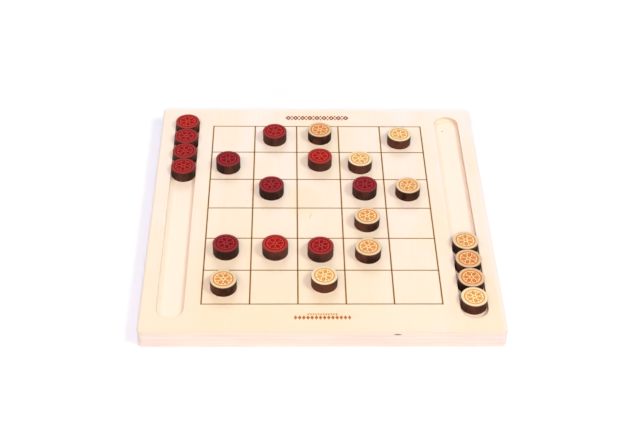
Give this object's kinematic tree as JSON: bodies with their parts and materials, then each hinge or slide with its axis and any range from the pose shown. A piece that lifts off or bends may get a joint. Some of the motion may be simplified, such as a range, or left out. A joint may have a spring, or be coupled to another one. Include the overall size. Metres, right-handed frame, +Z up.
{
  "type": "wooden board game set",
  "caption": "Flat plywood game board with a burnt grid of play squares and a storage trough down each side, with loose playing discs, some stained red and some natural.",
  "frame": {"origin": "middle of the board's underside, on the surface that the board stands on", "axes": "+X to the near player's right, +Y away from the near player, +Z up out of the play face"},
  "size_m": [0.301, 0.3006, 0.0284],
  "materials": {
    "plywood": "sanded birch plywood, clear matt, with laser-burnt lines",
    "red_stained_wood": "red stain on the top, charred laser-cut side",
    "natural_wood": "bare sanded top, charred laser-cut side"
  },
  "bodies": {
    "board": {"board": "plywood"},
    "red_disc_01": {"red_disc_01": "red_stained_wood"},
    "red_disc_02": {"red_disc_02": "red_stained_wood"},
    "red_disc_03": {"red_disc_03": "red_stained_wood"},
    "red_disc_04": {"red_disc_04": "red_stained_wood"},
    "red_disc_05": {"red_disc_05": "red_stained_wood"},
    "red_disc_06": {"red_disc_06": "red_stained_wood"},
    "red_disc_07": {"red_disc_07": "red_stained_wood"},
    "red_disc_08": {"red_disc_08": "red_stained_wood"},
    "red_disc_09": {"red_disc_09": "red_stained_wood"},
    "red_disc_10": {"red_disc_10": "red_stained_wood"},
    "red_disc_11": {"red_disc_11": "red_stained_wood"},
    "red_disc_12": {"red_disc_12": "red_stained_wood"},
    "natural_disc_01": {"natural_disc_01": "natural_wood"},
    "natural_disc_02": {"natural_disc_02": "natural_wood"},
    "natural_disc_03": {"natural_disc_03": "natural_wood"},
    "natural_disc_04": {"natural_disc_04": "natural_wood"},
    "natural_disc_05": {"natural_disc_05": "natural_wood"},
    "natural_disc_06": {"natural_disc_06": "natural_wood"},
    "natural_disc_07": {"natural_disc_07": "natural_wood"},
    "natural_disc_08": {"natural_disc_08": "natural_wood"},
    "natural_disc_09": {"natural_disc_09": "natural_wood"},
    "natural_disc_10": {"natural_disc_10": "natural_wood"},
    "natural_disc_11": {"natural_disc_11": "natural_wood"},
    "natural_disc_12": {"natural_disc_12": "natural_wood"}
  },
  "joints": [
    {"name": "red_disc_01_lift", "type": "slide", "parent": "board", "child": "red_disc_01", "axis": [0, 0, 1], "range_m": [0, 0.03]},
    {"name": "red_disc_02_lift", "type": "slide", "parent": "board", "child": "red_disc_02", "axis": [0, 0, 1], "range_m": [0, 0.03]},
    {"name": "red_disc_03_lift", "type": "slide", "parent": "board", "child": "red_disc_03", "axis": [0, 0, 1], "range_m": [0, 0.03]},
    {"name": "red_disc_04_lift", "type": "slide", "parent": "board", "child": "red_disc_04", "axis": [0, 0, 1], "range_m": [0, 0.03]},
    {"name": "red_disc_05_lift", "type": "slide", "parent": "board", "child": "red_disc_05", "axis": [0, 0, 1], "range_m": [0, 0.03]},
    {"name": "red_disc_06_lift", "type": "slide", "parent": "board", "child": "red_disc_06", "axis": [0, 0, 1], "range_m": [0, 0.03]},
    {"name": "red_disc_07_lift", "type": "slide", "parent": "board", "child": "red_disc_07", "axis": [0, 0, 1], "range_m": [0, 0.03]},
    {"name": "red_disc_08_lift", "type": "slide", "parent": "board", "child": "red_disc_08", "axis": [0, 0, 1], "range_m": [0, 0.03]},
    {"name": "red_disc_09_lift", "type": "slide", "parent": "board", "child": "red_disc_09", "axis": [0, 0, 1], "range_m": [0, 0.03]},
    {"name": "red_disc_10_lift", "type": "slide", "parent": "board", "child": "red_disc_10", "axis": [0, 0, 1], "range_m": [0, 0.03]},
    {"name": "red_disc_11_lift", "type": "slide", "parent": "board", "child": "red_disc_11", "axis": [0, 0, 1], "range_m": [0, 0.03]},
    {"name": "red_disc_12_lift", "type": "slide", "parent": "board", "child": "red_disc_12", "axis": [0, 0, 1], "range_m": [0, 0.03]},
    {"name": "natural_disc_01_lift", "type": "slide", "parent": "board", "child": "natural_disc_01", "axis": [0, 0, 1], "range_m": [0, 0.03]},
    {"name": "natural_disc_02_lift", "type": "slide", "parent": "board", "child": "natural_disc_02", "axis": [0, 0, 1], "range_m": [0, 0.03]},
    {"name": "natural_disc_03_lift", "type": "slide", "parent": "board", "child": "natural_disc_03", "axis": [0, 0, 1], "range_m": [0, 0.03]},
    {"name": "natural_disc_04_lift", "type": "slide", "parent": "board", "child": "natural_disc_04", "axis": [0, 0, 1], "range_m": [0, 0.03]},
    {"name": "natural_disc_05_lift", "type": "slide", "parent": "board", "child": "natural_disc_05", "axis": [0, 0, 1], "range_m": [0, 0.03]},
    {"name": "natural_disc_06_lift", "type": "slide", "parent": "board", "child": "natural_disc_06", "axis": [0, 0, 1], "range_m": [0, 0.03]},
    {"name": "natural_disc_07_lift", "type": "slide", "parent": "board", "child": "natural_disc_07", "axis": [0, 0, 1], "range_m": [0, 0.03]},
    {"name": "natural_disc_08_lift", "type": "slide", "parent": "board", "child": "natural_disc_08", "axis": [0, 0, 1], "range_m": [0, 0.03]},
    {"name": "natural_disc_09_lift", "type": "slide", "parent": "board", "child": "natural_disc_09", "axis": [0, 0, 1], "range_m": [0, 0.03]},
    {"name": "natural_disc_10_lift", "type": "slide", "parent": "board", "child": "natural_disc_10", "axis": [0, 0, 1], "range_m": [0, 0.03]},
    {"name": "natural_disc_11_lift", "type": "slide", "parent": "board", "child": "natural_disc_11", "axis": [0, 0, 1], "range_m": [0, 0.03]},
    {"name": "natural_disc_12_lift", "type": "slide", "parent": "board", "child": "natural_disc_12", "axis": [0, 0, 1], "range_m": [0, 0.03]}
  ]
}
